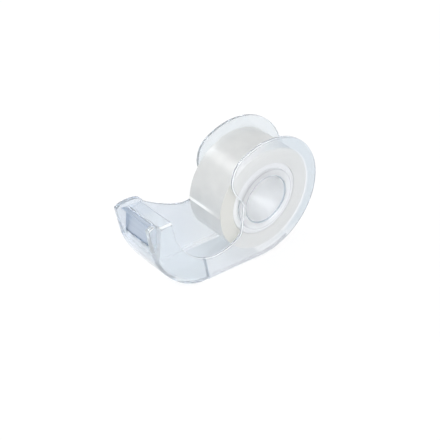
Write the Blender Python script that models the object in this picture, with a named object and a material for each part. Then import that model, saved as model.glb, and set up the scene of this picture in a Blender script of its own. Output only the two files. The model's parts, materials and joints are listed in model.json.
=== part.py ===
"""Handheld tape dispenser: a clear moulded body and side cover, a toothed blade and a roll on its core.

Metres, +Z up. X runs from the nose (-X) to the back, Y along the roll's axis, and the flat base is z = 0.
Sizes below are measured from the roll's axis (x = 0) and the base; a root empty then centres the length.
"""

import math

import bmesh
import bpy

MM = 0.001

# Overall sizes
DISC_RADIUS = 26.4 * MM
NOSE_REACH = 57.3 * MM
CROWN_HEIGHT = 35.2 * MM
TAPE_WIDTH = 18.0 * MM

# Moulded walls and the gaps between pieces
WALL = 1.4 * MM
FLOOR = 1.4 * MM
TAPE_SIDE_GAP = 0.3 * MM
JOIN_GAP = 0.3 * MM
NEAR_WALL_LAP = 0.1 * MM

# Hub tube on the cover, boss on the far cheek, core and tape
HUB_BORE_RADIUS = 9.8 * MM
BOSS_WALL = 2.5 * MM
FAR_BOSS_LENGTH = 4.5 * MM
CORE_CLEARANCE = 0.4 * MM
CORE_WALL = 2.5 * MM
CORE_CHAMFER = 0.3 * MM
ROLL_MARGIN = 4.6 * MM
TAPE_STEP = 0.25 * MM
TAPE_LIFT = 0.45 * MM
TAPE_LIFT_DEG = 7.0
TAPE_END_DEG = 184.0

# Side outline: the curled front of the disc, the hand throat and the base
CURL_START_DEG = 118.0
CURL_REACH = 18.1 * MM
CURL_RISE = 13.6 * MM
THROAT_REACH = 14.6 * MM
THROAT_RISE = 4.0 * MM
SADDLE_REACH = 25.0 * MM
SADDLE_HEIGHT = 23.4 * MM
NOTCH_RISE = 1.6 * MM
NOTCH_INSET = 0.9 * MM
NOTCH_FOOT = 16.0 * MM
RIM_HEIGHT = 9.9 * MM
RIM_REACH = 24.0 * MM
BASE_LENGTH = 30.6 * MM
STEP_REACH = 27.0 * MM
STEP_LEAN = 3.0 * MM
BACK_WALL_END_DEG = -58.0

# Nose: two side guards, the table between them, and the recess of the blade with its ledge
NOSE_LENGTH = 12.5 * MM
CROWN_SETBACK = 5.8 * MM
SHOULDER_DROP = 2.8 * MM
BROW_DROP = 2.0 * MM
FACE_HEIGHT = 13.5 * MM
FACE_LEAN = 2.8 * MM
GUARD_WALL = 2.2 * MM
GUARD_HEIGHT = 2.0 * MM
NEAR_LIP = 0.2 * MM
NEAR_LIP_ROUND = 1.4 * MM
EAR_SLOPE = 1.9
TABLE_WALL = 1.5 * MM
TABLE_BACK_SETBACK = 11.1 * MM
LEDGE_LIP = 0.3 * MM
LEDGE_RISE = 2.1 * MM
SLOT_DEPTH = 1.3 * MM

# Blade
BLADE_THICKNESS = 0.35 * MM
BLADE_SETBACK = 4.2 * MM
BLADE_LIP = 2.9 * MM
BLADE_LIP_DEG = 17.0
TOOTH_COUNT = 16
TOOTH_DEPTH = 0.8 * MM

# Rounding of the moulded edges
RIM_ROUND = 0.5 * MM
CROWN_ROUND = 0.8 * MM
FACE_ROUND = 2.0 * MM
HULL_ROUND = 3.4 * MM
BASE_ROUND = 2.4 * MM
STEP_ROUND = 0.6 * MM
SQUARE_EDGE = 0.15 * MM

# Facets
DISC_SEGMENTS = 96
BOSS_SEGMENTS = 64
ROLL_SEGMENTS = 96
CURVE_STEPS = 10
ROUND_STEPS = 3

# Sizes that follow from those above
HUB_HEIGHT = DISC_RADIUS
BOSS_RADIUS = HUB_BORE_RADIUS + BOSS_WALL
CORE_INNER_RADIUS = BOSS_RADIUS + CORE_CLEARANCE
CORE_OUTER_RADIUS = CORE_INNER_RADIUS + CORE_WALL
ROLL_INNER_RADIUS = CORE_OUTER_RADIUS + JOIN_GAP
ROLL_RADIUS = DISC_RADIUS - ROLL_MARGIN
INNER_HALF = TAPE_WIDTH / 2 + TAPE_SIDE_GAP
OUTER_HALF = INNER_HALF + WALL
FAR_BOSS_END_Y = INNER_HALF - FAR_BOSS_LENGTH
HUB_TUBE_END_Y = FAR_BOSS_END_Y - JOIN_GAP
SEAT_Y = -INNER_HALF + JOIN_GAP
NEAR_WALL_INNER_Y = SEAT_Y - NEAR_WALL_LAP
NEAR_WALL_OUTER_Y = NEAR_WALL_INNER_Y - WALL
NEAR_GUARD_Y = NEAR_WALL_OUTER_Y + GUARD_WALL
FAR_GUARD_Y = OUTER_HALF - GUARD_WALL
BLADE_WIDTH = FAR_GUARD_Y - NEAR_GUARD_Y - 2 * JOIN_GAP
CHIN = (-NOSE_REACH + FACE_LEAN, CROWN_HEIGHT - FACE_HEIGHT)
TABLE_HEIGHT = CROWN_HEIGHT - GUARD_HEIGHT
TABLE_BACK_X = -NOSE_REACH + TABLE_BACK_SETBACK
BLADE_X = -NOSE_REACH + BLADE_SETBACK
BLADE_SLOT = BLADE_THICKNESS + 2 * JOIN_GAP
BACKING_X = BLADE_X + BLADE_SLOT / 2 + WALL
LEDGE_HEIGHT = CHIN[1] + LEDGE_RISE
SLOT_FOOT = LEDGE_HEIGHT - SLOT_DEPTH
STEP_FOOT_X = -STEP_REACH
STEP_TOP_X = -STEP_REACH - STEP_LEAN
NOTCH_X = -BOSS_RADIUS + NOTCH_INSET
BEYOND = DISC_RADIUS


def polar(radius, degrees):
    """Point of the side view at an angle about the hub, 0 towards the back and 90 up."""
    turn = math.radians(degrees)
    return (radius * math.cos(turn), HUB_HEIGHT + radius * math.sin(turn))


def arc(radius, start, end, segments):
    """Points along an arc about the hub; segments counts those of a whole turn."""
    count = max(2, round(abs(end - start) / 360.0 * segments))
    return [polar(radius, start + (end - start) * i / count) for i in range(count + 1)]


def curve(start, leave, arrive, end, steps=CURVE_STEPS):
    """Cubic curve between two points; leave and arrive are its handles, as offsets from each end."""
    handle_1 = (start[0] + leave[0], start[1] + leave[1])
    handle_2 = (end[0] + arrive[0], end[1] + arrive[1])
    points = []
    for i in range(steps + 1):
        t = i / steps
        weights = ((1 - t) ** 3, 3 * t * (1 - t) ** 2, 3 * t * t * (1 - t), t**3)
        anchors = (start, handle_1, handle_2, end)
        points.append(tuple(sum(w * p[k] for w, p in zip(weights, anchors)) for k in (0, 1)))
    return points


def edge_normals(points, closed):
    """Outward mitred normals of a counter-clockwise outline, scaled so that offsets keep their width."""
    normals = []
    count = len(points)
    for i, point in enumerate(points):
        before = points[i - 1] if closed or i else None
        after = points[(i + 1) % count] if closed or i + 1 < count else None
        sides = []
        for a, b in ((before, point), (point, after)):
            if a is not None and b is not None:
                length = math.dist(a, b)
                sides.append(((b[1] - a[1]) / length, (a[0] - b[0]) / length))
        total = [sum(side[k] for side in sides) for k in (0, 1)]
        scale = len(sides) / (total[0] ** 2 + total[1] ** 2)
        normals.append((total[0] * scale, total[1] * scale))
    return normals


def inset(points, distance):
    """An open outline moved inwards by a wall."""
    normals = edge_normals(points, closed=False)
    return [(p[0] - n[0] * distance, p[1] - n[1] * distance) for p, n in zip(points, normals)]


def graded(points, near_ends, far_ends):
    """Gives each point of an outline a near and a far edge rounding, running evenly between two values."""
    last = len(points) - 1
    rows = []
    for i, (x, z) in enumerate(points):
        t = i / last
        near, far = (low + (high - low) * t for low, high in (near_ends, far_ends))
        rows.append((x, z, near, far))
    return rows


def joined(*stretches):
    """Chains stretches of an outline and drops the points that two of them share."""
    rows = []
    for stretch in stretches:
        for row in stretch:
            if not rows or math.dist(row[:2], rows[-1][:2]) > 1e-6:
                rows.append(row)
    if math.dist(rows[0][:2], rows[-1][:2]) < 1e-6:
        rows.pop()
    return rows


def new_object(name, bm, parent):
    """Turns a bmesh into a named object, facing outwards and smooth between its sharp edges."""
    if bm.calc_volume(signed=True) < 0:
        bmesh.ops.reverse_faces(bm, faces=bm.faces)
    mesh = bpy.data.meshes.new(name)
    bm.to_mesh(mesh)
    bm.free()
    mesh.shade_smooth()
    mesh.set_sharp_from_angle(angle=math.radians(30))
    obj = bpy.data.objects.new(name, mesh)
    bpy.context.scene.collection.objects.link(obj)
    obj.parent = parent
    return obj


def skin(rings, cap):
    """A bmesh of closed rings joined in turn; cap closes the first and last ring with a face each."""
    bm = bmesh.new()
    rows = [[bm.verts.new(point) for point in ring] for ring in rings]
    pairs = list(zip(rows, rows[1:]))
    if not cap:
        pairs.append((rows[-1], rows[0]))
    for low, high in pairs:
        for i in range(len(low)):
            j = (i + 1) % len(low)
            bm.faces.new((low[j], low[i], high[i], high[j]))
    if cap:
        bm.faces.new(rows[0])
        bm.faces.new(list(reversed(rows[-1])))
    return bm


def rounded_prism(name, rows, y_low, y_high, parent):
    """Extrudes a side outline along Y, with each point's own rounding at the near and the far edge."""
    normals = edge_normals([row[:2] for row in rows], closed=True)
    rings = []
    for side, y_face, inward in ((2, y_low, 1), (3, y_high, -1)):
        angles = [math.pi / 2 * i / ROUND_STEPS for i in range(ROUND_STEPS + 1)]
        if side == 3:
            angles.reverse()
        for angle in angles:
            ring = []
            for row, normal in zip(rows, normals):
                back = row[side] * (1 - math.sin(angle))
                y = y_face + inward * row[side] * (1 - math.cos(angle))
                ring.append((row[0] - normal[0] * back, y, row[1] - normal[1] * back))
            rings.append(ring)
    return new_object(name, skin(rings, cap=True), parent)


def prism(name, points, y_low, y_high, parent):
    """Extrudes a plain side outline along Y."""
    rings = [[(x, y, z) for x, z in points] for y in (y_low, y_high)]
    return new_object(name, skin(rings, cap=True), parent)


def cylinder(name, radius, y_low, y_high, parent):
    """A plain cylinder about the hub's axis."""
    points = [polar(radius, 360.0 * i / BOSS_SEGMENTS) for i in range(BOSS_SEGMENTS)]
    return prism(name, points, y_low, y_high, parent)


def shape_with(obj, tool, operation):
    """Adds a Boolean that cuts, joins or trims an object by a hidden tool."""
    tool.hide_render = True
    tool.display_type = "WIRE"
    modifier = obj.modifiers.new(tool.name, "BOOLEAN")
    modifier.operation = operation
    modifier.solver = "EXACT"
    modifier.object = tool


def curl():
    """The disc's front: it leaves the circle and curls in towards the hub, as far as its front point."""
    start = polar(DISC_RADIUS, CURL_START_DEG)
    turn = math.radians(CURL_START_DEG)
    handle = DISC_RADIUS * 0.19
    leave = (-handle * math.sin(turn), handle * math.cos(turn))
    return curve(start, leave, (0, 4.2 * MM), (-CURL_REACH, HUB_HEIGHT + CURL_RISE))


def hull_curve():
    """The belly, from the chin under the nose's face to the front of the flat base."""
    base_front = (-BASE_LENGTH, 0.0)
    return curve(CHIN, (3.8 * MM, -9.7 * MM), (-10.7 * MM, 0.0), base_front, 2 * CURVE_STEPS)


def far_edge():
    """The far wall's top edge: down the throat, along the saddle and up to the nose's shoulder."""
    front = (-CURL_REACH, HUB_HEIGHT + CURL_RISE)
    throat = (-THROAT_REACH, HUB_HEIGHT + THROAT_RISE)
    saddle = (-SADDLE_REACH, SADDLE_HEIGHT)
    shoulder = (-NOSE_REACH + NOSE_LENGTH, CROWN_HEIGHT - SHOULDER_DROP)
    down = curve(front, (0, -4.5 * MM), (0, 3.6 * MM), throat)
    along = curve(throat, (0, -4.8 * MM), (5.5 * MM, -1.0 * MM), saddle)
    rise = curve(saddle, (-6.0 * MM, 1.1 * MM), (3.0 * MM, -2.6 * MM), shoulder)
    return down + along[1:] + rise[1:]


def nose_top():
    """The guards' crown, from the shoulder over to the top of the leaning face."""
    shoulder = (-NOSE_REACH + NOSE_LENGTH, CROWN_HEIGHT - SHOULDER_DROP)
    crown = (-NOSE_REACH + CROWN_SETBACK, CROWN_HEIGHT)
    brow = (-NOSE_REACH, CROWN_HEIGHT - BROW_DROP)
    back = curve(shoulder, (-0.9 * MM, 2.2 * MM), (3.6 * MM, 0), crown)
    front = curve(crown, (-3.6 * MM, 0), (-0.25 * MM, 1.0 * MM), brow)
    return back + front[1:]


def near_rim():
    """The near wall's rim, from the back of the nose down to the low rim beside the roll."""
    top = (TABLE_BACK_X - JOIN_GAP, TABLE_HEIGHT)
    low = (-RIM_REACH, RIM_HEIGHT)
    return curve(top, (1.5 * MM, -11.0 * MM), (-12.0 * MM, 0.4 * MM), low, 2 * CURVE_STEPS)


def body_outline():
    """Counter-clockwise side outline of the body, with the rounding of its near and far edges."""
    hull = hull_curve()
    half = len(hull) // 2
    face = [nose_top()[-1], hull[0]]
    base = [hull[-1], (0.0, 0.0)]
    top = arc(DISC_RADIUS, 0.0, CURL_START_DEG, DISC_SEGMENTS)
    under = arc(DISC_RADIUS, -90.0, 0.0, DISC_SEGMENTS)
    rim = (RIM_ROUND, RIM_ROUND)
    step = (STEP_ROUND, STEP_ROUND)
    return joined(
        graded(top, rim, rim),
        graded(curl(), rim, rim),
        graded(far_edge(), rim, rim),
        graded(nose_top(), (RIM_ROUND, CROWN_ROUND), (RIM_ROUND, CROWN_ROUND)),
        graded(face, (CROWN_ROUND, FACE_ROUND), (CROWN_ROUND, FACE_ROUND)),
        graded(hull[: half + 1], (FACE_ROUND, HULL_ROUND), (FACE_ROUND, HULL_ROUND)),
        graded(hull[half:], (HULL_ROUND, STEP_ROUND), (HULL_ROUND, BASE_ROUND)),
        graded(base, step, (BASE_ROUND, BASE_ROUND)),
        graded(under, (STEP_ROUND, RIM_ROUND), (BASE_ROUND, RIM_ROUND)),
    )


def cavity_outline():
    """Side outline of the hollow: inside the belly, base and back wall, under the table and open above."""
    belly = [p for p in inset(hull_curve(), FLOOR) if p[0] > BACKING_X]
    base = [belly[-1], (0.0, FLOOR)]
    back = arc(DISC_RADIUS - WALL, -90.0, BACK_WALL_END_DEG, DISC_SEGMENTS)
    top = 2 * DISC_RADIUS + BEYOND
    table_under = TABLE_HEIGHT - TABLE_WALL
    opening = [
        polar(DISC_RADIUS + BEYOND, BACK_WALL_END_DEG),
        (DISC_RADIUS + BEYOND, top),
        (TABLE_BACK_X, top),
        (TABLE_BACK_X, table_under),
        (BACKING_X, table_under),
        (BACKING_X, belly[0][1] + FLOOR),
    ]
    half = len(belly) // 2
    inner_hull = HULL_ROUND - WALL
    inner_base = BASE_ROUND - WALL
    square = (SQUARE_EDGE, SQUARE_EDGE)
    return joined(
        graded(belly[: half + 1], (SQUARE_EDGE, inner_hull), (SQUARE_EDGE, inner_hull)),
        graded(belly[half:], (inner_hull, SQUARE_EDGE), (inner_hull, inner_base)),
        graded(base, square, (inner_base, inner_base)),
        graded(back, square, (inner_base, SQUARE_EDGE)),
        graded(opening, square, square),
    )


def height_on(points, x):
    """Height of an outline that runs towards +X, at a place along it."""
    for (x_1, z_1), (x_2, z_2) in zip(points, points[1:]):
        if x_1 <= x <= x_2:
            return z_1 + (z_2 - z_1) * (x - x_1) / (x_2 - x_1)
    raise ValueError("the place is not on the outline")


def seat_outline():
    """What the near side of the body leaves free: the cover's seat behind the step, and the hand throat."""
    rim = near_rim()
    step_top = (STEP_TOP_X, height_on(rim, STEP_TOP_X))
    slope = (STEP_FOOT_X - STEP_TOP_X) / step_top[1]
    far_right = DISC_RADIUS + BEYOND
    top = 2 * DISC_RADIUS + BEYOND
    return [
        (STEP_FOOT_X + slope * BEYOND, -BEYOND),
        (far_right, -BEYOND),
        (far_right, top),
        (rim[0][0], top),
        *[p for p in rim if p[0] < STEP_TOP_X],
        step_top,
        (STEP_FOOT_X, 0.0),
    ]


def recess_outline():
    """What the nose leaves free between its guards: above the ledge, in the blade's slot, over the table."""
    front = -NOSE_REACH - BEYOND
    back = TABLE_BACK_X + BEYOND
    top = CROWN_HEIGHT + BEYOND
    slot_front = BLADE_X - BLADE_SLOT / 2
    slot_back = BLADE_X + BLADE_SLOT / 2
    return [
        (front, CHIN[1] + LEDGE_LIP),
        (CHIN[0], CHIN[1] + LEDGE_LIP),
        (slot_front, LEDGE_HEIGHT),
        (slot_front, SLOT_FOOT),
        (slot_back, SLOT_FOOT),
        (slot_back, TABLE_HEIGHT),
        (back, TABLE_HEIGHT),
        (back, top),
        (front, top),
    ]


def near_guard_cutter(parent):
    """Cuts the near guard down to a rounded lip beside the table, with a sloping ear before the blade."""
    lip = TABLE_HEIGHT + NEAR_LIP
    shoulder_y = NEAR_WALL_OUTER_Y + NEAR_LIP_ROUND
    section = [(0.0, lip + BEYOND), (0.0, lip)]
    for i in range(2 * ROUND_STEPS + 1):
        turn = math.pi / 2 * i / (2 * ROUND_STEPS)
        y = shoulder_y - NEAR_LIP_ROUND * math.sin(turn)
        section.append((y, lip - NEAR_LIP_ROUND * (1 - math.cos(turn))))
    section += [(-OUTER_HALF - BEYOND, lip - NEAR_LIP_ROUND), (-OUTER_HALF - BEYOND, lip + BEYOND)]
    foot = BLADE_X + BLADE_SLOT / 2
    front = [(foot - EAR_SLOPE * (z - lip), y, z) for y, z in section]
    back = [(TABLE_BACK_X + BEYOND, y, z) for y, z in section]
    return new_object("cut_near_guard", skin([front, back], cap=True), parent)


def make_body_shell(parent):
    """Body: far cheek with its hub boss, floor and back wall, near front wall, and the nose."""
    body = rounded_prism("body_shell", body_outline(), NEAR_WALL_OUTER_Y, OUTER_HALF, parent)
    hollow = rounded_prism("cut_hollow", cavity_outline(), NEAR_WALL_INNER_Y, INNER_HALF, parent)
    shape_with(body, hollow, "DIFFERENCE")
    boss = cylinder("add_far_boss", BOSS_RADIUS, FAR_BOSS_END_Y, INNER_HALF + WALL / 2, parent)
    shape_with(body, boss, "UNION")
    bore = cylinder("cut_far_bore", HUB_BORE_RADIUS, -INNER_HALF, OUTER_HALF + BEYOND, parent)
    shape_with(body, bore, "DIFFERENCE")
    seat = prism("cut_cover_seat", seat_outline(), -OUTER_HALF - BEYOND, SEAT_Y, parent)
    shape_with(body, seat, "DIFFERENCE")
    recess = prism("cut_nose_recess", recess_outline(), NEAR_GUARD_Y, FAR_GUARD_Y, parent)
    shape_with(body, recess, "DIFFERENCE")
    shape_with(body, near_guard_cutter(parent), "DIFFERENCE")
    return body


def cover_outline():
    """Counter-clockwise side outline of the cover: disc, curl, notch at the hub, low rim, step and base."""
    front = (-CURL_REACH, HUB_HEIGHT + CURL_RISE)
    notch_top = (NOTCH_X, HUB_HEIGHT + NOTCH_RISE)
    notch_foot = (NOTCH_X, NOTCH_FOOT)
    low = (-RIM_REACH, RIM_HEIGHT)
    inward = curve(front, (0, -4.5 * MM), (-2.9 * MM, 4.5 * MM), notch_top)
    foot = curve(notch_foot, (0, -2.8 * MM), (7.0 * MM, 0.3 * MM), low)
    step_x = STEP_TOP_X + JOIN_GAP
    rim = [p for p in near_rim() if p[0] > step_x]
    step = [(step_x, height_on(near_rim(), step_x)), (STEP_FOOT_X + JOIN_GAP, 0.0)]
    points = joined(
        arc(DISC_RADIUS, -90.0, CURL_START_DEG, DISC_SEGMENTS),
        curl(),
        inward,
        foot,
        list(reversed(rim)),
        step,
    )
    return [(x, z, RIM_ROUND, RIM_ROUND) for x, z in points]


def make_side_cover(parent):
    """Near cheek: a flat plate with the hub tube, seated on the body's floor and back wall."""
    cover = rounded_prism("side_cover", cover_outline(), -OUTER_HALF, -INNER_HALF, parent)
    tube = cylinder("add_hub_tube", BOSS_RADIUS, -INNER_HALF - WALL / 2, HUB_TUBE_END_Y, parent)
    shape_with(cover, tube, "UNION")
    bore = cylinder("cut_near_bore", HUB_BORE_RADIUS, -OUTER_HALF - BEYOND, INNER_HALF, parent)
    shape_with(cover, bore, "DIFFERENCE")
    return cover


def make_cutter_blade(parent):
    """Blade: a bent steel strip whose plate stands in the nose's slot and whose lip ends in teeth."""
    half = BLADE_THICKNESS / 2
    turn = math.radians(BLADE_LIP_DEG)
    along = (-math.cos(turn), math.sin(turn))
    bend = (BLADE_X, TABLE_HEIGHT - half)
    tip = (bend[0] + along[0] * BLADE_LIP, bend[1] + along[1] * BLADE_LIP)
    root = (tip[0] - along[0] * TOOTH_DEPTH, tip[1] - along[1] * TOOTH_DEPTH)
    foot = (BLADE_X, SLOT_FOOT + JOIN_GAP)
    plate_normal = (1.0, 0.0)
    lip_normal = (math.sin(turn), math.cos(turn))
    mitre = 1 + plate_normal[0] * lip_normal[0] + plate_normal[1] * lip_normal[1]
    bend_normal = tuple((a + b) / mitre for a, b in zip(plate_normal, lip_normal))
    rings = []
    for i in range(2 * TOOTH_COUNT + 1):
        y = NEAR_GUARD_Y + JOIN_GAP + BLADE_WIDTH * i / (2 * TOOTH_COUNT)
        edge = tip if i % 2 else root
        line = [(foot, plate_normal), (bend, bend_normal), (edge, lip_normal)]
        outside = [(p[0] + n[0] * half, y, p[1] + n[1] * half) for p, n in line]
        inside = [(p[0] - n[0] * half, y, p[1] - n[1] * half) for p, n in reversed(line)]
        rings.append(outside + inside)
    return new_object("cutter_blade", skin(rings, cap=True), parent)


def make_tape_core(parent):
    """Core: the plain ring that the tape is wound on and that turns on the hub."""
    half = TAPE_WIDTH / 2
    corner = CORE_CHAMFER
    section = [
        (CORE_INNER_RADIUS, half - corner),
        (CORE_INNER_RADIUS + corner, half),
        (CORE_OUTER_RADIUS - corner, half),
        (CORE_OUTER_RADIUS, half - corner),
    ]
    section += [(radius, -y) for radius, y in reversed(section)]
    rings = []
    for i in range(BOSS_SEGMENTS):
        turn = math.tau * i / BOSS_SEGMENTS
        rings.append([(r * math.cos(turn), y, r * math.sin(turn)) for r, y in section])
    return new_object("tape_core", skin(rings, cap=False), parent)


def tape_surface(degrees_before_end):
    """Radius of the outer turn, counted back from the tape's cut end, which stands off the roll."""
    spiral = ROLL_RADIUS - TAPE_STEP * degrees_before_end / 360.0
    lift = max(0.0, 1.0 - degrees_before_end / TAPE_LIFT_DEG)
    return spiral + TAPE_LIFT * lift * lift


def make_tape_roll(parent):
    """Wound tape: a solid roll whose outer face is the last turn's spiral, ending in the tape's cut end."""
    half = TAPE_WIDTH / 2
    plain = [360.0 * (1 - i / ROLL_SEGMENTS) for i in range(ROLL_SEGMENTS)]
    lifted = [TAPE_LIFT_DEG * (1 - i / CURVE_STEPS) for i in range(CURVE_STEPS + 1)]
    rings = []
    for before_end in [back for back in plain if back > TAPE_LIFT_DEG] + lifted:
        turn = math.radians(TAPE_END_DEG - before_end)
        outer = tape_surface(before_end)
        section = ((ROLL_INNER_RADIUS, half), (ROLL_INNER_RADIUS, -half), (outer, -half), (outer, half))
        rings.append([(r * math.cos(turn), y, r * math.sin(turn)) for r, y in section])
    bm = skin(rings, cap=False)
    bmesh.ops.remove_doubles(bm, verts=bm.verts, dist=1e-6)
    return new_object("tape_roll", bm, parent)


def material(name, colour, roughness, metallic=0.0, transmission=0.0, ior=1.5):
    """A Principled material."""
    made = bpy.data.materials.new(name)
    made.use_nodes = True
    shader = made.node_tree.nodes["Principled BSDF"]
    shader.inputs["Base Color"].default_value = (*colour, 1.0)
    shader.inputs["Roughness"].default_value = roughness
    shader.inputs["Metallic"].default_value = metallic
    shader.inputs["Transmission Weight"].default_value = transmission
    shader.inputs["IOR"].default_value = ior
    return made


def empty(name, location, parent=None):
    """An empty that carries pieces."""
    holder = bpy.data.objects.new(name, None)
    bpy.context.scene.collection.objects.link(holder)
    holder.parent = parent
    holder.location = location
    return holder


def main():
    for obj in list(bpy.data.objects):
        bpy.data.objects.remove(obj)
    reach = [row[0] for row in body_outline()]
    root = empty("tape_dispenser", (-(min(reach) + max(reach)) / 2, 0.0, 0.0))
    roll_axis = empty("roll_axis", (0.0, 0.0, HUB_HEIGHT), root)
    clear_body = material("clear_polystyrene_body", (0.90, 0.93, 0.97), 0.06, 0.0, 1.0, 1.59)
    clear_cover = material("clear_polystyrene_cover", (0.90, 0.93, 0.97), 0.06, 0.0, 1.0, 1.59)
    steel = material("blade_steel", (0.66, 0.71, 0.78), 0.3, 1.0)
    core_white = material("core_plastic", (0.90, 0.91, 0.91), 0.4)
    tape = material("matte_tape", (0.87, 0.87, 0.84), 0.45)
    pieces = (
        (make_body_shell, root, clear_body),
        (make_side_cover, root, clear_cover),
        (make_cutter_blade, root, steel),
        (make_tape_core, roll_axis, core_white),
        (make_tape_roll, roll_axis, tape),
    )
    for make, parent, finish in pieces:
        make(parent).data.materials.append(finish)


main()
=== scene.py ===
"""Visual model of a clear handheld tape dispenser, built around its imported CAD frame.

Side outlines are drawn as (x, z) in metres from the roll's axis (x = 0) and the base (z = 0), with the nose
towards -X and the cover on the -Y side, and are moved to the frame's own origin when a mesh is made.
"""

import json
import math

import bmesh
import bpy
from mathutils import Matrix, Vector


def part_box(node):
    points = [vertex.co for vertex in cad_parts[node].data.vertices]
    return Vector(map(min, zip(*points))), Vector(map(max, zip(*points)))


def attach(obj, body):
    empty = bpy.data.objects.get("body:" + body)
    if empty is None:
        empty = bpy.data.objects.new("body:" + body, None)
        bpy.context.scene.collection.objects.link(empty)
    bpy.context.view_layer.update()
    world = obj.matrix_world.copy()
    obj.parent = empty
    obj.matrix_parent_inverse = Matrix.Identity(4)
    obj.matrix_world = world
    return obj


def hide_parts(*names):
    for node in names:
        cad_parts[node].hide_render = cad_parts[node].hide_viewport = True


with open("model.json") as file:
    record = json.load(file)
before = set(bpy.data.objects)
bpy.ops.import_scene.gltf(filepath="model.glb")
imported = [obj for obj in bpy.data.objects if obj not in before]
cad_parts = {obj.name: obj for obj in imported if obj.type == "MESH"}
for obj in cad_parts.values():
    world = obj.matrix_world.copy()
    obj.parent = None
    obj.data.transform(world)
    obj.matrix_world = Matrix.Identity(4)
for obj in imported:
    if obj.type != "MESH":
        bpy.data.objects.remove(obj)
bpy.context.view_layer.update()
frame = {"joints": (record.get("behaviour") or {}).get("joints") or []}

bl_info = {
    "name": "Handheld Tape Dispenser",
    "version": (1, 0, 0),
    "blender": (4, 5, 0),
    "location": "3D View > Sidebar > Dispenser",
    "description": "Moulds the clear body and cover, stamps the blade, winds the tape and sets the stage",
    "category": "Object",
}

MM = 0.001
ROLL_JOINT = next(joint for joint in frame["joints"] if joint["name"] == "roll_spin")
HUB = Vector(ROLL_JOINT["pos_m"])
HUB_X, HUB_Y, HUB_Z = ROLL_JOINT["pos_m"]
BODY_LOW, BODY_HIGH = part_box("body_shell")
BLADE_LOW, BLADE_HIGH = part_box("cutter_blade")
COVER_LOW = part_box("side_cover")[0]
CORE_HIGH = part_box("tape_core")[1]
ROLL_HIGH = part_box("tape_roll")[1]

# Sizes of the frame that the visual pieces keep
WALL = 1.4 * MM
FLOOR = 1.4 * MM
JOIN_GAP = 0.3 * MM
DISC_RADIUS = HUB_Z
OUTER_HALF = BODY_HIGH.y
INNER_HALF = OUTER_HALF - WALL
NEAR_WALL_OUTER_Y = BODY_LOW.y
NEAR_WALL_INNER_Y = NEAR_WALL_OUTER_Y + WALL
SEAT_Y = -INNER_HALF + JOIN_GAP
HUB_BORE_RADIUS = 9.8 * MM
BOSS_RADIUS = 12.3 * MM
BOSS_FILLET = 0.7 * MM
BOSS_LIP = 0.5 * MM
FAR_BOSS_LENGTH = 4.5 * MM
FAR_BOSS_END_Y = INNER_HALF - FAR_BOSS_LENGTH
HUB_TUBE_END_Y = FAR_BOSS_END_Y - JOIN_GAP
CORE_INNER_RADIUS = 12.7 * MM
CORE_OUTER_RADIUS = 15.2 * MM
ROLL_RADIUS = 21.8 * MM
TAPE_HALF = ROLL_HIGH.y
TAPE_END_DEG = 184.0

# Side outline: curled front of the disc, hand throat, low near rim, base and step
CURL_START_DEG = 118.0
CURL_HANDLE = 0.19 * DISC_RADIUS / MM
CURL_FRONT = (-18.1 * MM, HUB_Z + 13.6 * MM)
THROAT = (-14.6 * MM, HUB_Z + 4.0 * MM)
SADDLE = (-25.0 * MM, 23.4 * MM)
NOTCH_X = -11.4 * MM
NOTCH_TOP = (NOTCH_X, HUB_Z + 1.6 * MM)
NOTCH_FOOT = (NOTCH_X, 16.0 * MM)
RIM_LOW = (-24.0 * MM, 9.9 * MM)
BASE_FRONT = (-30.6 * MM, 0.0)
STEP_FOOT_X = -27.0 * MM
STEP_TOP_X = -30.0 * MM
BACK_CURL_END_DEG = -58.0

# Nose: two guards, the table between them, and the recess of the blade with its ledge
NOSE_FRONT = -57.3 * MM
SHOULDER = (NOSE_FRONT + 12.5 * MM, 32.4 * MM)
CROWN = (NOSE_FRONT + 5.8 * MM, 35.2 * MM)
BROW = (NOSE_FRONT, 33.2 * MM)
CHIN = (NOSE_FRONT + 2.8 * MM, 21.7 * MM)
GUARD_WALL = 2.2 * MM
NEAR_GUARD_Y = NEAR_WALL_OUTER_Y + GUARD_WALL
FAR_GUARD_Y = OUTER_HALF - GUARD_WALL
TABLE_HEIGHT = 33.2 * MM
TABLE_WALL = 1.5 * MM
TABLE_BACK_X = NOSE_FRONT + 11.1 * MM
NEAR_LIP = 0.2 * MM
NEAR_LIP_ROUND = 1.4 * MM
EAR_SLOPE = 1.9
LEDGE_LIP = 0.3 * MM
LEDGE_HEIGHT = CHIN[1] + 2.1 * MM
SLOT_FOOT = LEDGE_HEIGHT - 1.3 * MM
BLADE_THICKNESS = 0.35 * MM
BLADE_X = NOSE_FRONT + 4.2 * MM
BLADE_SLOT = BLADE_THICKNESS + 2 * JOIN_GAP
BACKING_X = BLADE_X + BLADE_SLOT / 2 + WALL
BLADE_LIP = 2.9 * MM
BLADE_LIP_DEG = 17.0

# Rounding of the moulded outlines; the rims' rounding stays inside the tightest bend, at the nose's crown
RIM_ROUND = 0.5 * MM
FACE_ROUND = 2.0 * MM
HULL_ROUND = 3.4 * MM
BASE_ROUND = 2.4 * MM
STEP_ROUND = 0.6 * MM
SHARP_EDGE = 0.02 * MM

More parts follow.
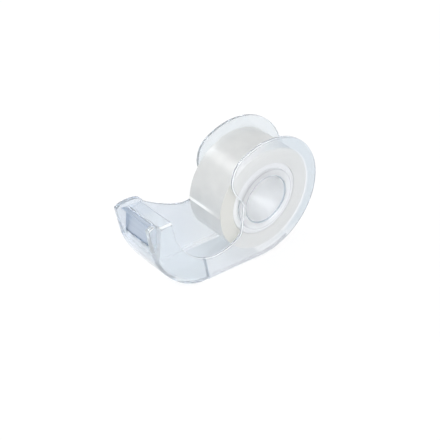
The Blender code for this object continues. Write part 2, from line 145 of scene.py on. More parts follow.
# Fineness of the meshes, and what counts there as the same point, a sliver, flat or sharp
DISC_SEGMENTS = 300
LATHE_SEGMENTS = 192
CURVE_STEPS = 24
ROUND_STEPS = 6
NOSE_ROUND_STEPS = 2
RIM_ROUND_STEPS = 3
BEND_STEPS = 6
TURN_STEPS = 160
BEYOND = DISC_RADIUS
SAME_POINT = 1e-6
AXIS_RADIUS = 0.0005 * MM
MERGE_WIDTH = 0.02 * MM
SLIVER_WIDTH = 0.01 * MM
FINE_MERGE_WIDTH = 0.005 * MM
FINE_SLIVER_WIDTH = 0.002 * MM
SHORTEST_ROUNDED_EDGE = 0.09 * MM
FLAT_ANGLE = math.radians(0.3)
ROUNDED_EDGE_ANGLE = math.radians(35.0)
SHARP_SHADE_ANGLE = math.radians(38.0)

# Attributes that carry looks from the meshes to the materials: tint with painted shade, haze with painted
# highlights, added roughness, and the tape's painted end highlight
FACE_TINT_AND_SHADE = "face_tint"
FACE_HAZE_AND_HIGHLIGHT = "face_haze"
FACE_SATIN = "face_satin"
END_HIGHLIGHT = "folded_end"

# Where roundings and looks change: places on the mouldings, and shares of a face's normal along one axis
NOSE_BACK_X = TABLE_BACK_X + 2.0 * MM
NOSE_LOW = 20.0 * MM
NEAR_FACE_DEPTH = 0.3 * MM
SEAT_MARGIN = 0.01 * MM
STEP_MARGIN = 0.1 * MM
PLATE_MARGIN = 0.05 * MM
CLEAR_FLOOR_X = -14.0 * MM
FLOOR_CORNER_TOP = FLOOR + 1.1 * MM
BOSS_ROOT = (BOSS_RADIUS, BOSS_RADIUS + 1.0 * MM)
BORE_MOUTH_RADIUS = HUB_BORE_RADIUS + 0.7 * MM
PLATE_NORMAL = 0.995
WALL_NORMAL = 0.97
FOOT_NORMAL = 0.85
LEDGE_NORMAL = 0.7
CORNER_NORMAL = 0.5
EDGE_NORMAL = 0.3
RISING_NORMAL = 0.25
MOUTH_NORMAL = 0.1

# Painted shade: bluer parts of the clear mouldings, as directions from the hub ("R" is the radius), each with
# its start and end
FAR_BOW_SHADE = (("Y", 0.0, 1.0 * MM), ("X", -14.0 * MM, -26.0 * MM))
COVER_MARGIN_SHADE = (
    ("R", ROLL_RADIUS - 0.6 * MM, ROLL_RADIUS + 0.4 * MM),
    ("X", -6.0 * MM, 8.0 * MM),
    ("Z", 3.0 * MM - HUB_Z, 10.0 * MM - HUB_Z),
)

# Kinds of the inputs of node trees, and where the blade's strip ends, as a share of its length
SOCKET_KINDS = {float: "Float", int: "Int", Vector: "Vector", bpy.types.Material: "Material"}
STRIP_EDGE = 0.9999

# Wound tape: how its points crowd towards the cut end, how far that end is lifted, and how far the painted
# highlight along it reaches
TURN_CROWDING = 1.25
LIFT_CURVE = 1.5
LIFT_ANGLE = math.radians(5.0)
HIGHLIGHT_ANGLE = math.radians(3.0)
HIGHLIGHT_REACH = 0.7
TAPE_EDGE_DEPTH = 0.02 * MM

# Stage: the photograph's camera, the paper, and the lamps, each with its azimuth and elevation in degrees and
# its distance, width and height in metres
FRAME_PIXELS = 440
FOCAL_PIXELS = 1500.0
HUB_PIXEL = (247.65, 187.2)
SENSOR_MM = 36.0
FLOOR_RADIUS = 1.5
FLOOR_SEGMENTS = 96
FLOOR_DROP = 0.1 * MM
CLEAR_WALL_BOUNCES = 32
SOFTBOXES = {
    "key": (124.0, 44.0, 0.75, 0.36, 0.16),
    "fill": (-80.0, 22.0, 0.8, 0.8, 0.6),
    "front": (200.0, 6.0, 0.8, 0.5, 0.2),
}


def polar(radius, degrees):
    """Point of the side view at an angle about the hub, 0 towards the back and 90 up."""
    turn = math.radians(degrees)
    return (radius * math.cos(turn), HUB_Z + radius * math.sin(turn))


def arc(radius, start, end):
    """Points along an arc about the hub."""
    count = max(2, round(abs(end - start) / 360.0 * DISC_SEGMENTS))
    return [polar(radius, start + (end - start) * i / count) for i in range(count + 1)]


def curve(start, leave, arrive, end, steps=CURVE_STEPS):
    """Cubic curve between two points; leave and arrive are its handles in mm, as offsets from each end."""
    handle_1 = (start[0] + leave[0] * MM, start[1] + leave[1] * MM)
    handle_2 = (end[0] + arrive[0] * MM, end[1] + arrive[1] * MM)
    anchors = (start, handle_1, handle_2, end)
    points = []
    for i in range(steps + 1):
        t = i / steps
        weights = ((1 - t) ** 3, 3 * t * (1 - t) ** 2, 3 * t * t * (1 - t), t**3)
        points.append(tuple(sum(w * p[k] for w, p in zip(weights, anchors)) for k in (0, 1)))
    return points


def edge_normals(points, closed):
    """Outward mitred normals of a counter-clockwise outline, scaled so that offsets keep their width."""
    normals = []
    count = len(points)
    for i, point in enumerate(points):
        before = points[i - 1] if closed or i else None
        after = points[(i + 1) % count] if closed or i + 1 < count else None
        sides = []
        for a, b in ((before, point), (point, after)):
            if a is not None and b is not None:
                length = math.dist(a, b)
                sides.append(((b[1] - a[1]) / length, (a[0] - b[0]) / length))
        total = [sum(side[k] for side in sides) for k in (0, 1)]
        scale = len(sides) / (total[0] ** 2 + total[1] ** 2)
        normals.append((total[0] * scale, total[1] * scale))
    return normals


def inset(points, distance):
    """An open outline moved inwards by a wall."""
    normals = edge_normals(points, closed=False)
    return [(p[0] - n[0] * distance, p[1] - n[1] * distance) for p, n in zip(points, normals)]


def graded(points, near_ends, far_ends=None):
    """Gives each point of an outline a near and a far edge rounding, running evenly between two values."""
    last = len(points) - 1
    rows = []
    for i, (x, z) in enumerate(points):
        t = i / last
        near, far = (low + (high - low) * t for low, high in (near_ends, far_ends or near_ends))
        rows.append((x, z, near, far))
    return rows


def joined(*stretches):
    """Chains stretches of an outline and drops the points that two of them share."""
    rows = []
    for stretch in stretches:
        for row in stretch:
            if not rows or math.dist(row[:2], rows[-1][:2]) > SAME_POINT:
                rows.append(row)
    if math.dist(rows[0][:2], rows[-1][:2]) < SAME_POINT:
        rows.pop()
    return rows


def new_object(name, data):
    """A new object in the scene."""
    obj = bpy.data.objects.new(name, data)
    bpy.context.scene.collection.objects.link(obj)
    return obj


def to_object(name, bm):
    """Turns a bmesh drawn about the hub into an object in the frame, facing outwards."""
    if bm.calc_volume(signed=True) < 0:
        bmesh.ops.reverse_faces(bm, faces=bm.faces)
    bmesh.ops.translate(bm, verts=bm.verts, vec=(HUB_X, HUB_Y, 0.0))
    mesh = bpy.data.meshes.new(name)
    bm.to_mesh(mesh)
    bm.free()
    return new_object(name, mesh)


def skin(rings, cap):
    """A bmesh of closed rings joined in turn; cap closes the first and last ring with a face each."""
    bm = bmesh.new()
    rows = [[bm.verts.new(point) for point in ring] for ring in rings]
    pairs = list(zip(rows, rows[1:]))
    if not cap:
        pairs.append((rows[-1], rows[0]))
    for low, high in pairs:
        for i in range(len(low)):
            j = (i + 1) % len(low)
            bm.faces.new((low[j], low[i], high[i], high[j]))
    if cap:
        bm.faces.new(rows[0])
        bm.faces.new(list(reversed(rows[-1])))
    return bm


def rounded_prism(name, rows, y_low, y_high):
    """Extrudes a side outline along Y, with each point's own rounding at the near and the far edge."""
    normals = edge_normals([row[:2] for row in rows], closed=True)
    rings = []
    for side, y_face, inward in ((2, y_low, 1), (3, y_high, -1)):
        angles = [math.pi / 2 * i / ROUND_STEPS for i in range(ROUND_STEPS + 1)]
        if side == 3:
            angles.reverse()
        for angle in angles:
            ring = []
            for row, normal in zip(rows, normals):
                back = row[side] * (1 - math.sin(angle))
                y = y_face + inward * row[side] * (1 - math.cos(angle))
                ring.append((row[0] - normal[0] * back, y, row[1] - normal[1] * back))
            rings.append(ring)
    return to_object(name, skin(rings, cap=True))


def prism(name, points, y_low, y_high):
    """Extrudes a plain side outline along Y."""
    return to_object(name, skin([[(x, y, z) for x, z in points] for y in (y_low, y_high)], cap=True))


def lathe(name, section, ring):
    """Turns a section of (radius, y) about the hub's axis; its two ends are joined to a ring or capped."""
    rings = []
    for radius, y in section:
        circle = [polar(radius, 360.0 * i / LATHE_SEGMENTS) for i in range(LATHE_SEGMENTS)]
        rings.append([(x, y, z) for x, z in circle])
    return to_object(name, skin(rings, cap=not ring))


def quarter(centre, radius, start):
    """Points of a quarter turn in a section of (radius, y), anticlockwise from start in degrees."""
    points = []
    for i in range(ROUND_STEPS + 1):
        turn = math.radians(start + 90.0 * i / ROUND_STEPS)
        points.append((centre[0] + radius * math.cos(turn), centre[1] + radius * math.sin(turn)))
    return points


def carve(obj, *steps):
    """Applies Booleans in turn, each an operation and a tool, and removes the tools."""
    for operation, tool in steps:
        modifier = obj.modifiers.new(tool.name, "BOOLEAN")
        modifier.operation = operation
        modifier.solver = "EXACT"
        modifier.object = tool
    bake_modifiers(obj)
    for _, tool in steps:
        mesh = tool.data
        bpy.data.objects.remove(tool)
        bpy.data.meshes.remove(mesh)


def bake_modifiers(obj):
    """Replaces an object's mesh by what its modifiers make of it."""
    depsgraph = bpy.context.evaluated_depsgraph_get()
    depsgraph.update()
    old = obj.data
    made = bpy.data.meshes.new_from_object(obj.evaluated_get(depsgraph), depsgraph=depsgraph)
    obj.modifiers.clear()
    obj.data = made
    bpy.data.meshes.remove(old)
    made.name = obj.name


def curl():
    """The disc's front: it leaves the circle and curls in towards the hub, as far as its front point."""
    start = polar(DISC_RADIUS, CURL_START_DEG)
    turn = math.radians(CURL_START_DEG)
    leave = (-CURL_HANDLE * math.sin(turn), CURL_HANDLE * math.cos(turn))
    return curve(start, leave, (0, 4.2), CURL_FRONT)


def hull_curve():
    """The belly, from the chin under the nose's face to the front of the flat base."""
    return curve(CHIN, (3.8, -9.7), (-10.7, 0.0), BASE_FRONT, 2 * CURVE_STEPS)


def far_edge():
    """The far wall's top edge: down the throat, along the saddle and up to the nose's shoulder."""
    down = curve(CURL_FRONT, (0, -4.5), (0, 3.6), THROAT)
    along = curve(THROAT, (0, -4.8), (5.5, -1.0), SADDLE)
    rise = curve(SADDLE, (-6.0, 1.1), (3.0, -2.6), SHOULDER)
    return down + along[1:] + rise[1:]


def nose_top():
    """The guards' crown, from the shoulder over to the top of the leaning face."""
    back = curve(SHOULDER, (-0.9, 2.2), (3.6, 0), CROWN)
    front = curve(CROWN, (-3.6, 0), (-0.25, 1.0), BROW)
    return back + front[1:]


def near_rim():
    """The near wall's rim, from the back of the nose down to the low rim beside the roll."""
    top = (TABLE_BACK_X - JOIN_GAP, TABLE_HEIGHT)
    return curve(top, (1.5, -11.0), (-12.0, 0.4), RIM_LOW, 2 * CURVE_STEPS)


def body_outline():
    """Counter-clockwise side outline of the body, with the rounding of its near and far edges."""
    hull = hull_curve()
    half = len(hull) // 2
    face = [nose_top()[-1], hull[0]]
    base = [hull[-1], (0.0, 0.0)]
    rim = (RIM_ROUND, RIM_ROUND)
    return joined(
        graded(arc(DISC_RADIUS, 0.0, CURL_START_DEG), rim),
        graded(curl(), rim),
        graded(far_edge(), rim),
        graded(nose_top(), rim),
        graded(face, (RIM_ROUND, FACE_ROUND)),
        graded(hull[: half + 1], (FACE_ROUND, HULL_ROUND)),
        graded(hull[half:], (HULL_ROUND, STEP_ROUND), (HULL_ROUND, BASE_ROUND)),
        graded(base, (STEP_ROUND, STEP_ROUND), (BASE_ROUND, BASE_ROUND)),
        graded(arc(DISC_RADIUS, -90.0, 0.0), (STEP_ROUND, RIM_ROUND), (BASE_ROUND, RIM_ROUND)),
    )


def hollow_outline():
    """Side outline of the hollow: inside the belly, base and back curl, under the table and open above."""
    belly = [p for p in inset(hull_curve(), FLOOR) if p[0] > BACKING_X]
    base = [belly[-1], (0.0, FLOOR)]
    back = arc(DISC_RADIUS - WALL, -90.0, BACK_CURL_END_DEG)
    top = 2 * DISC_RADIUS + BEYOND
    table_under = TABLE_HEIGHT - TABLE_WALL
    opening = [
        polar(DISC_RADIUS + BEYOND, BACK_CURL_END_DEG),
        (DISC_RADIUS + BEYOND, top),
        (TABLE_BACK_X, top),
        (TABLE_BACK_X, table_under),
        (BACKING_X, table_under),
        (BACKING_X, belly[0][1] + FLOOR),
    ]
    half = len(belly) // 2
    inner_hull = HULL_ROUND - WALL
    inner_base = BASE_ROUND - WALL
    sharp = (SHARP_EDGE, SHARP_EDGE)
    return joined(
        graded(belly[: half + 1], (SHARP_EDGE, inner_hull)),
        graded(belly[half:], (inner_hull, SHARP_EDGE), (inner_hull, inner_base)),
        graded(base, sharp, (inner_base, inner_base)),
        graded(back, sharp, (inner_base, SHARP_EDGE)),
        graded(opening, sharp),
    )


def height_on(points, x):
    """Height of an outline that runs towards +X, at a place along it."""
    for (x_1, z_1), (x_2, z_2) in zip(points, points[1:]):
        if x_1 <= x <= x_2:
            return z_1 + (z_2 - z_1) * (x - x_1) / (x_2 - x_1)
    raise ValueError("the place is not on the outline")


def seat_outline():
    """What the near side of the body leaves free: the cover's seat behind the step, and the hand throat."""
    rim = near_rim()
    step_top = (STEP_TOP_X, height_on(rim, STEP_TOP_X))
    slope = (STEP_FOOT_X - STEP_TOP_X) / step_top[1]
    far_right = DISC_RADIUS + BEYOND
    top = 2 * DISC_RADIUS + BEYOND
    return [
        (STEP_FOOT_X + slope * BEYOND, -BEYOND),
        (far_right, -BEYOND),
        (far_right, top),
        (rim[0][0], top),
        *[p for p in rim if p[0] < STEP_TOP_X],
        step_top,
        (STEP_FOOT_X, 0.0),
    ]


def recess_outline():
    """What the nose leaves free between its guards: over the ledge and the table, and the blade's slot."""
    front = NOSE_FRONT - BEYOND
    back = TABLE_BACK_X + BEYOND
    top = CROWN[1] + BEYOND
    slot_front = BLADE_X - BLADE_SLOT / 2
    slot_back = BLADE_X + BLADE_SLOT / 2
    return [
        (front, CHIN[1] + LEDGE_LIP),
        (CHIN[0], CHIN[1] + LEDGE_LIP),
        (slot_front, LEDGE_HEIGHT),
        (slot_front, SLOT_FOOT),
        (slot_back, SLOT_FOOT),
        (slot_back, TABLE_HEIGHT),
        (back, TABLE_HEIGHT),
        (back, top),
        (front, top),
    ]


def near_guard_tool():
    """Cuts the near guard down to a rounded lip beside the table, with a sloping ear before the blade."""
    lip = TABLE_HEIGHT + NEAR_LIP
    shoulder_y = NEAR_WALL_OUTER_Y + NEAR_LIP_ROUND
    section = [(0.0, lip + BEYOND), (0.0, lip)]
    for i in range(2 * ROUND_STEPS + 1):
        turn = math.pi / 2 * i / (2 * ROUND_STEPS)
        y = shoulder_y - NEAR_LIP_ROUND * math.sin(turn)
        section.append((y, lip - NEAR_LIP_ROUND * (1 - math.cos(turn))))
    section += [(-OUTER_HALF - BEYOND, lip - NEAR_LIP_ROUND), (-OUTER_HALF - BEYOND, lip + BEYOND)]
    foot = BLADE_X + BLADE_SLOT / 2
    front = [(foot - EAR_SLOPE * (z - lip), y, z) for y, z in section]
    back = [(TABLE_BACK_X + BEYOND, y, z) for y, z in section]
    return to_object("near_guard_tool", skin([front, back], cap=True))


def boss_tools(side, end):
    """A hub tube from one cheek to its end, with a filleted root, and the bore with its rounded mouths."""
    root = INNER_HALF * side
    outside = OUTER_HALF * side
    inside_wall = root + WALL / 2 * side
    rise = quarter((0.0, 0.0), 1.0, 90.0)
    fall = quarter((0.0, 0.0), 1.0, 0.0)
    section = [(AXIS_RADIUS, inside_wall), (BOSS_RADIUS + BOSS_FILLET, inside_wall)]
    section += [(BOSS_RADIUS + BOSS_FILLET * (1 + x), root - BOSS_FILLET * (1 - y) * side) for x, y in rise]
    section += [(BOSS_RADIUS - BOSS_LIP * (1 - x), end + BOSS_LIP * (1 - y) * side) for x, y in fall]
    section.append((AXIS_RADIUS, end))
    mouth = [(HUB_BORE_RADIUS + BOSS_LIP * (1 + x), BOSS_LIP * (1 - y) * side) for x, y in rise]
    wide = HUB_BORE_RADIUS + BOSS_LIP
    before = outside + BEYOND * side
    after = end - BEYOND * side
    cut = [(AXIS_RADIUS, before), (wide, before)]
    cut += [(radius, outside - depth) for radius, depth in mouth]
    cut += [(radius, end + depth) for radius, depth in reversed(mouth)]
    cut += [(wide, after), (AXIS_RADIUS, after)]
    return lathe("boss_tool", section, ring=False), lathe("bore_tool", cut, ring=False)


def join_close(bm, merge_width, sliver_width):
    """Joins points that lie closer than one width, and drops edges and faces narrower than another."""
    bmesh.ops.remove_doubles(bm, verts=bm.verts, dist=merge_width)
    bmesh.ops.dissolve_degenerate(bm, edges=bm.edges, dist=sliver_width)


def tidy_mesh(bm):
    """Joins what the Booleans left too close, merges faces that lie in one plane and closes holes."""
    join_close(bm, MERGE_WIDTH, SLIVER_WIDTH)
    bmesh.ops.dissolve_limit(bm, angle_limit=FLAT_ANGLE, verts=bm.verts, edges=bm.edges)
    bmesh.ops.holes_fill(bm, edges=[edge for edge in bm.edges if edge.is_boundary], sides=0)


def soften_edges(bm, width, segments, wanted):
    """Rounds the wanted sharp outer edges of a moulding; edges too short to take a rounding are left."""
    edges = []
    for edge in bm.edges:
        if edge.is_manifold and edge.is_convex and wanted(edge):
            if edge.calc_length() > SHORTEST_ROUNDED_EDGE and edge.calc_face_angle() > ROUNDED_EDGE_ANGLE:
                edges.append(edge)
    style = {"offset_type": "OFFSET", "profile": 0.5, "affect": "EDGES", "loop_slide": True}
    bmesh.ops.bevel(bm, geom=edges, offset=width, segments=segments, clamp_overlap=False, **style)


def polish(obj):
    """Shades a moulding smooth between its sharp edges, with flat faces kept flat."""
    obj.data.shade_smooth()
    obj.data.set_sharp_from_angle(angle=SHARP_SHADE_ANGLE)
    normals = obj.modifiers.new("flat_faces_stay_flat", "WEIGHTED_NORMAL")
    normals.keep_sharp = True
    normals.weight = 100
    bake_modifiers(obj)


def rim_look(normal, finish):
    """Look of a rim: two rounded edges that a strong haze paints white as highlights, a clear band between
    them, and a greyer foot painted as shade.
    """
    # Painted shade: faces turning towards the plate, and the rim's middle band, take the greyer rim tint
    if abs(normal.y) > FOOT_NORMAL:
        return finish.rim_shade_tint, 0.0, 0.0
    # Painted highlight: the rounded edges are hazed nearly white
    if abs(normal.y) > EDGE_NORMAL:
        return finish.rim_tint, finish.edge_highlight_haze, 0.0
    return finish.rim_shade_tint, finish.rim_haze, 0.0


def on_step(middle, normal):
    """Whether a face lies on the step where the cover meets the near wall."""
    ahead = HUB_X + STEP_TOP_X - STEP_MARGIN
    behind = HUB_X + STEP_FOOT_X + JOIN_GAP + STEP_MARGIN
    return ahead < middle.x < behind and middle.y < SEAT_Y and abs(normal.x) > EDGE_NORMAL


def on_ledge(middle, normal):
    """Whether a face is the front of the ledge below the blade."""
    return abs(middle.z - CHIN[1] - LEDGE_LIP / 2) < LEDGE_LIP and normal.x < -LEDGE_NORMAL


def on_floor_corner(middle, normal):
    """Whether a face is on the rounded corner between the floor and the far wall."""
    inside = middle.z < FLOOR_CORNER_TOP and middle.y > 0.0
    return inside and normal.z > RISING_NORMAL and -WALL_NORMAL < normal.y < -CORNER_NORMAL


def body_look(middle, normal, finish):
    """Tint, haze and added roughness of a face of the body."""
    between = abs(middle.y) < INNER_HALF - PLATE_MARGIN
    ahead = middle.x < HUB_X + CLEAR_FLOOR_X
    on_hull = normal.z < RISING_NORMAL and (ahead or middle.z < BASE_ROUND)
    under_table = middle.z < TABLE_HEIGHT - 2 * TABLE_WALL
    # Painted shade: the step and the ledge's front are painted as grey-blue lines
    if on_step(middle, normal) or on_ledge(middle, normal):
        return finish.shade_line_tint, 0.0, 0.0
    # Painted highlight: the rounded corner between the floor and the far wall is hazed white as a line of
    # light
    if on_floor_corner(middle, normal):
        return finish.rim_tint, finish.edge_highlight_haze, 0.0
    # Painted shade: the floor and belly ahead of the roll, under the table, are painted darker and bluer than
    # the walls
    if ahead and between and under_table and abs(normal.y) < WALL_NORMAL:
        return finish.floor_shade_tint, finish.body_haze, 0.0
    if abs(normal.y) > PLATE_NORMAL or ahead and between or on_hull and not between:
        return finish.body_tint, finish.body_haze, 0.0
    # Painted light: between the walls behind that, the floor under the roll and the hub stay clearer, lighter
    # than the shade under the roll
    if between:
        return finish.rim_tint, finish.hub_haze, 0.0
    return rim_look(normal, finish)


def cover_look(middle, normal, finish):
    """Tint, haze and added roughness of a face of the cover."""
    outward = Vector((middle.x - HUB_X, 0.0, middle.z - HUB_Z))
    # Painted shade: the step's face is painted as a grey-blue line
    if on_step(middle, normal):
        return finish.shade_line_tint, 0.0, 0.0
    if middle.y > -INNER_HALF + PLATE_MARGIN:
        outside = normal.dot(outward) > 0.0
        return finish.rim_tint, finish.cover_haze if outside else finish.hub_haze, finish.hub_satin
    if abs(normal.y) > PLATE_NORMAL:
        return finish.cover_tint, finish.cover_haze, 0.0
    # Painted shade: the bore's mouth is painted as a grey-blue ring
    if outward.length < BORE_MOUTH_RADIUS and abs(normal.y) > MOUTH_NORMAL:
        return finish.shade_line_tint, 0.0, 0.0
    if outward.length < BORE_MOUTH_RADIUS:
        return finish.rim_tint, finish.hub_haze, finish.hub_satin
    return rim_look(normal, finish)


def mark_faces(obj, look, finish):
    """Stores each face's tint, haze and added roughness, which look gives from its middle and normal.

    Faces with many sides are split afterwards, so that each keeps one look and the mesh stays closed.
    """
    carried = obj.data.attributes
    for name, kind in ((FACE_TINT_AND_SHADE, "FLOAT_COLOR"), (FACE_HAZE_AND_HIGHLIGHT, "FLOAT"), (FACE_SATIN, "FLOAT")):
        carried.new(name, kind, "FACE")
    for face in obj.data.polygons:
        tint, haze, satin = look(face.center, face.normal, finish)
        carried[FACE_TINT_AND_SHADE].data[face.index].color = opaque(tint)
        carried[FACE_HAZE_AND_HIGHLIGHT].data[face.index].value = haze
        carried[FACE_SATIN].data[face.index].value = satin
    split = obj.modifiers.new("many_sided_faces_split", "TRIANGULATE")
    split.ngon_method = "BEAUTY"
    split.min_vertices = 5
    split.keep_custom_normals = True
    bake_modifiers(obj)


def on_nose(edge):
    """Whether an edge lies on the nose."""
    return all(v.co.x < HUB_X + NOSE_BACK_X and v.co.z > NOSE_LOW for v in edge.verts)


def on_inner_nose(edge):
    """Whether an edge lies on the nose, away from the near wall's outer face."""
    return on_nose(edge) and all(v.co.y >= NEAR_WALL_OUTER_Y + NEAR_FACE_DEPTH for v in edge.verts)


def on_open_rim(edge):
    """Whether an edge lies behind the nose, and not in the plane where the cover is seated."""
    return not on_nose(edge) and any(abs(v.co.y - SEAT_Y) >= SEAT_MARGIN for v in edge.verts)


def set_material(obj, material):
    """Gives a piece its one material."""
    obj.data.materials.clear()
    obj.data.materials.append(material)


def make_body(sizes, finish):
    """Clear body: far cheek with its hub boss, floor with its curl at the back, near front wall, and nose."""
    body = rounded_prism("clear_body", body_outline(), NEAR_WALL_OUTER_Y, OUTER_HALF)
    boss, bore = boss_tools(1, FAR_BOSS_END_Y)
    carve(
        body,
        ("DIFFERENCE", rounded_prism("hollow", hollow_outline(), NEAR_WALL_INNER_Y, INNER_HALF)),
        ("UNION", boss),
        ("DIFFERENCE", bore),
        ("DIFFERENCE", prism("seat", seat_outline(), -OUTER_HALF - BEYOND, SEAT_Y)),
        ("DIFFERENCE", prism("recess", recess_outline(), NEAR_GUARD_Y, FAR_GUARD_Y)),
        ("DIFFERENCE", near_guard_tool()),
    )
    bm = bmesh.new()
    bm.from_mesh(body.data)
    tidy_mesh(bm)
    soften_edges(bm, sizes.nose_round, NOSE_ROUND_STEPS, on_inner_nose)
    soften_edges(bm, sizes.rim_round, RIM_ROUND_STEPS, on_open_rim)
    join_close(bm, FINE_MERGE_WIDTH, FINE_SLIVER_WIDTH)
    bm.to_mesh(body.data)
    bm.free()
    polish(body)
    mark_faces(body, body_look, finish)
    # Painted shade: the far wall is painted bluer towards the nose
    set_material(body, clear_polystyrene("clear_polystyrene_body", finish, finish.bow_shade, FAR_BOW_SHADE))
    return body


def cover_outline():
    """Counter-clockwise side outline of the cover: disc, curl, notch at the hub, low rim, step and base."""
    inward = curve(CURL_FRONT, (0, -4.5), (-2.9, 4.5), NOTCH_TOP)
    foot = curve(NOTCH_FOOT, (0, -2.8), (7.0, 0.3), RIM_LOW)
    step_x = STEP_TOP_X + JOIN_GAP
    rim = [p for p in near_rim() if p[0] > step_x + 2 * RIM_ROUND]
    step = [(step_x, height_on(near_rim(), step_x)), (STEP_FOOT_X + JOIN_GAP, 0.0)]
    disc = arc(DISC_RADIUS, -90.0, CURL_START_DEG)
    points = joined(disc, curl(), inward, foot, list(reversed(rim)), step)
    return [(x, z, RIM_ROUND, RIM_ROUND) for x, z in points]


def make_cover(finish):
    """Clear near cheek: a flat plate with the hub tube, seated along the edge of the body's floor."""
    cover = rounded_prism("clear_side_cover", cover_outline(), COVER_LOW.y, -INNER_HALF)
    tube, bore = boss_tools(-1, HUB_TUBE_END_Y)
    carve(cover, ("UNION", tube), ("DIFFERENCE", bore))
    bm = bmesh.new()
    bm.from_mesh(cover.data)
    tidy_mesh(bm)
    bm.to_mesh(cover.data)
    bm.free()
    polish(cover)
    mark_faces(cover, cover_look, finish)
    # Painted shade: the cover is painted bluer in its margin round the roll
    plastic = clear_polystyrene("clear_polystyrene_cover", finish, finish.margin_shade, COVER_MARGIN_SHADE)
    set_material(cover, plastic)
    return cover


def make_core(sizes, finish):
    """Core ring that the tape is wound on, with rounded lips."""
    lip = sizes.core_round
    half = CORE_HIGH.y
    section = []
    corners = (
        (CORE_INNER_RADIUS + lip, -half + lip, 180.0),
        (CORE_OUTER_RADIUS - lip, -half + lip, 270.0),
        (CORE_OUTER_RADIUS - lip, half - lip, 0.0),
        (CORE_INNER_RADIUS + lip, half - lip, 90.0),
    )
    for radius, y, start in corners:
        section += quarter((radius, y), lip, start)
    core = lathe("tape_core_ring", section, ring=True)
    polish(core)
    set_material(core, core_plastic(finish))
    return core


def set_inputs(tree, node, inputs):
    """Sets inputs of a node, each to a value or to the socket that feeds it."""
    for socket, source in inputs.items():
        if isinstance(source, bpy.types.NodeSocket):
            tree.links.new(source, node.inputs[socket])
        else:
            node.inputs[socket].default_value = source


def add_node(tree, kind, inputs=None, **settings):
    """Adds a node with its settings and inputs."""
    node = tree.nodes.new(kind)
    for name, value in settings.items():
        setattr(node, name, value)
    set_inputs(tree, node, inputs or {})
    return node


def output_of(tree, kind, inputs=None, **settings):
    """First output of a new node."""
    return add_node(tree, kind, inputs, **settings).outputs[0]


def maths(tree, operation, *terms):
    """Result of a maths node that takes the terms in turn."""
    return output_of(tree, "ShaderNodeMath", dict(enumerate(terms)), operation=operation)


def vector_maths(tree, operation, inputs):
    """Result of a vector maths node: a length, or else a vector."""
    node = add_node(tree, "ShaderNodeVectorMath", inputs, operation=operation)
    return node.outputs["Value" if operation == "LENGTH" else "Vector"]


def captured(tree, geometry, kind, label, field):
    """Keeps a field's values on a geometry, and gives that geometry and the kept values."""
    node = add_node(tree, "GeometryNodeCaptureAttribute", {"Geometry": geometry})
    node.capture_items.new(kind, label)
    tree.links.new(field, node.inputs[1])
    return node.outputs[0], node.outputs[1]


def node_group(name, values):
    """A geometry node tree that takes and gives a geometry, its inputs named and typed after the values."""
    tree = bpy.data.node_groups.new(name, "GeometryNodeTree")
    tree.interface.new_socket("Geometry", in_out="INPUT", socket_type="NodeSocketGeometry")
    tree.interface.new_socket("Geometry", in_out="OUTPUT", socket_type="NodeSocketGeometry")
    for label, value in values.items():
        kind = f"NodeSocket{SOCKET_KINDS[type(value)]}"
        tree.interface.new_socket(label, in_out="INPUT", socket_type=kind)
    return tree, add_node(tree, "NodeGroupInput").outputs


def end_group(tree, geometry, material):
    """Ends a geometry node tree: instances made real, the material set, and the way out."""
    real = output_of(tree, "GeometryNodeRealizeInstances", {"Geometry": geometry})
    made = output_of(tree, "GeometryNodeSetMaterial", {"Geometry": real, "Material": material})
    add_node(tree, "NodeGroupOutput", {"Geometry": made})


def put_group(obj, tree, values):
    """Puts a node tree on an object and sets its inputs by their identifiers."""
    modifier = obj.modifiers.new(tree.name, "NODES")
    modifier.node_group = tree
    for item in tree.interface.items_tree:
        if item.item_type == "SOCKET" and item.in_out == "INPUT" and item.name in values:
            modifier[item.identifier] = values[item.name]


def blade_tree(values):
    """Sheet of the blade: a bent line swept across the width, every second point of its edge drawn out."""
    tree, given = node_group("toothed_strip", values)
    line = output_of(tree, "GeometryNodeMeshToCurve", {"Mesh": given["Geometry"]})
    bending = {"Curve": line, "Radius": given["Bend Radius"], "Count": BEND_STEPS}
    bend = output_of(tree, "GeometryNodeFilletCurve", bending, mode="POLY")
    along = add_node(tree, "GeometryNodeSplineParameter").outputs["Factor"]
    bend, along = captured(tree, bend, "FLOAT", "Along", along)
    ends = []
    for side in (-0.5, 0.5):
        y = maths(tree, "MULTIPLY", given["Width"], side)
        ends.append(output_of(tree, "ShaderNodeCombineXYZ", {"Y": y}))
    across = output_of(tree, "GeometryNodeCurvePrimitiveLine", {"Start": ends[0], "End": ends[1]})
    count = maths(tree, "MULTIPLY_ADD", given["Teeth"], 2.0, 1.0)
    row = output_of(tree, "GeometryNodeResampleCurve", {"Curve": across, "Count": count})
    row, number = captured(tree, row, "INT", "Number", output_of(tree, "GeometryNodeInputIndex"))
    sheet = output_of(tree, "GeometryNodeCurveToMesh", {"Curve": bend, "Profile Curve": row})
    odd = maths(tree, "MODULO", number, 2.0)
    at_edge = maths(tree, "GREATER_THAN", along, STRIP_EDGE)
    reach = maths(tree, "MULTIPLY", maths(tree, "MULTIPLY", odd, at_edge), given["Tooth Depth"])
    offset = vector_maths(tree, "SCALE", {0: given["Lip Direction"], "Scale": reach})
    teeth = output_of(tree, "GeometryNodeSetPosition", {"Geometry": sheet, "Offset": offset})
    end_group(tree, teeth, given["Material"])
    return tree


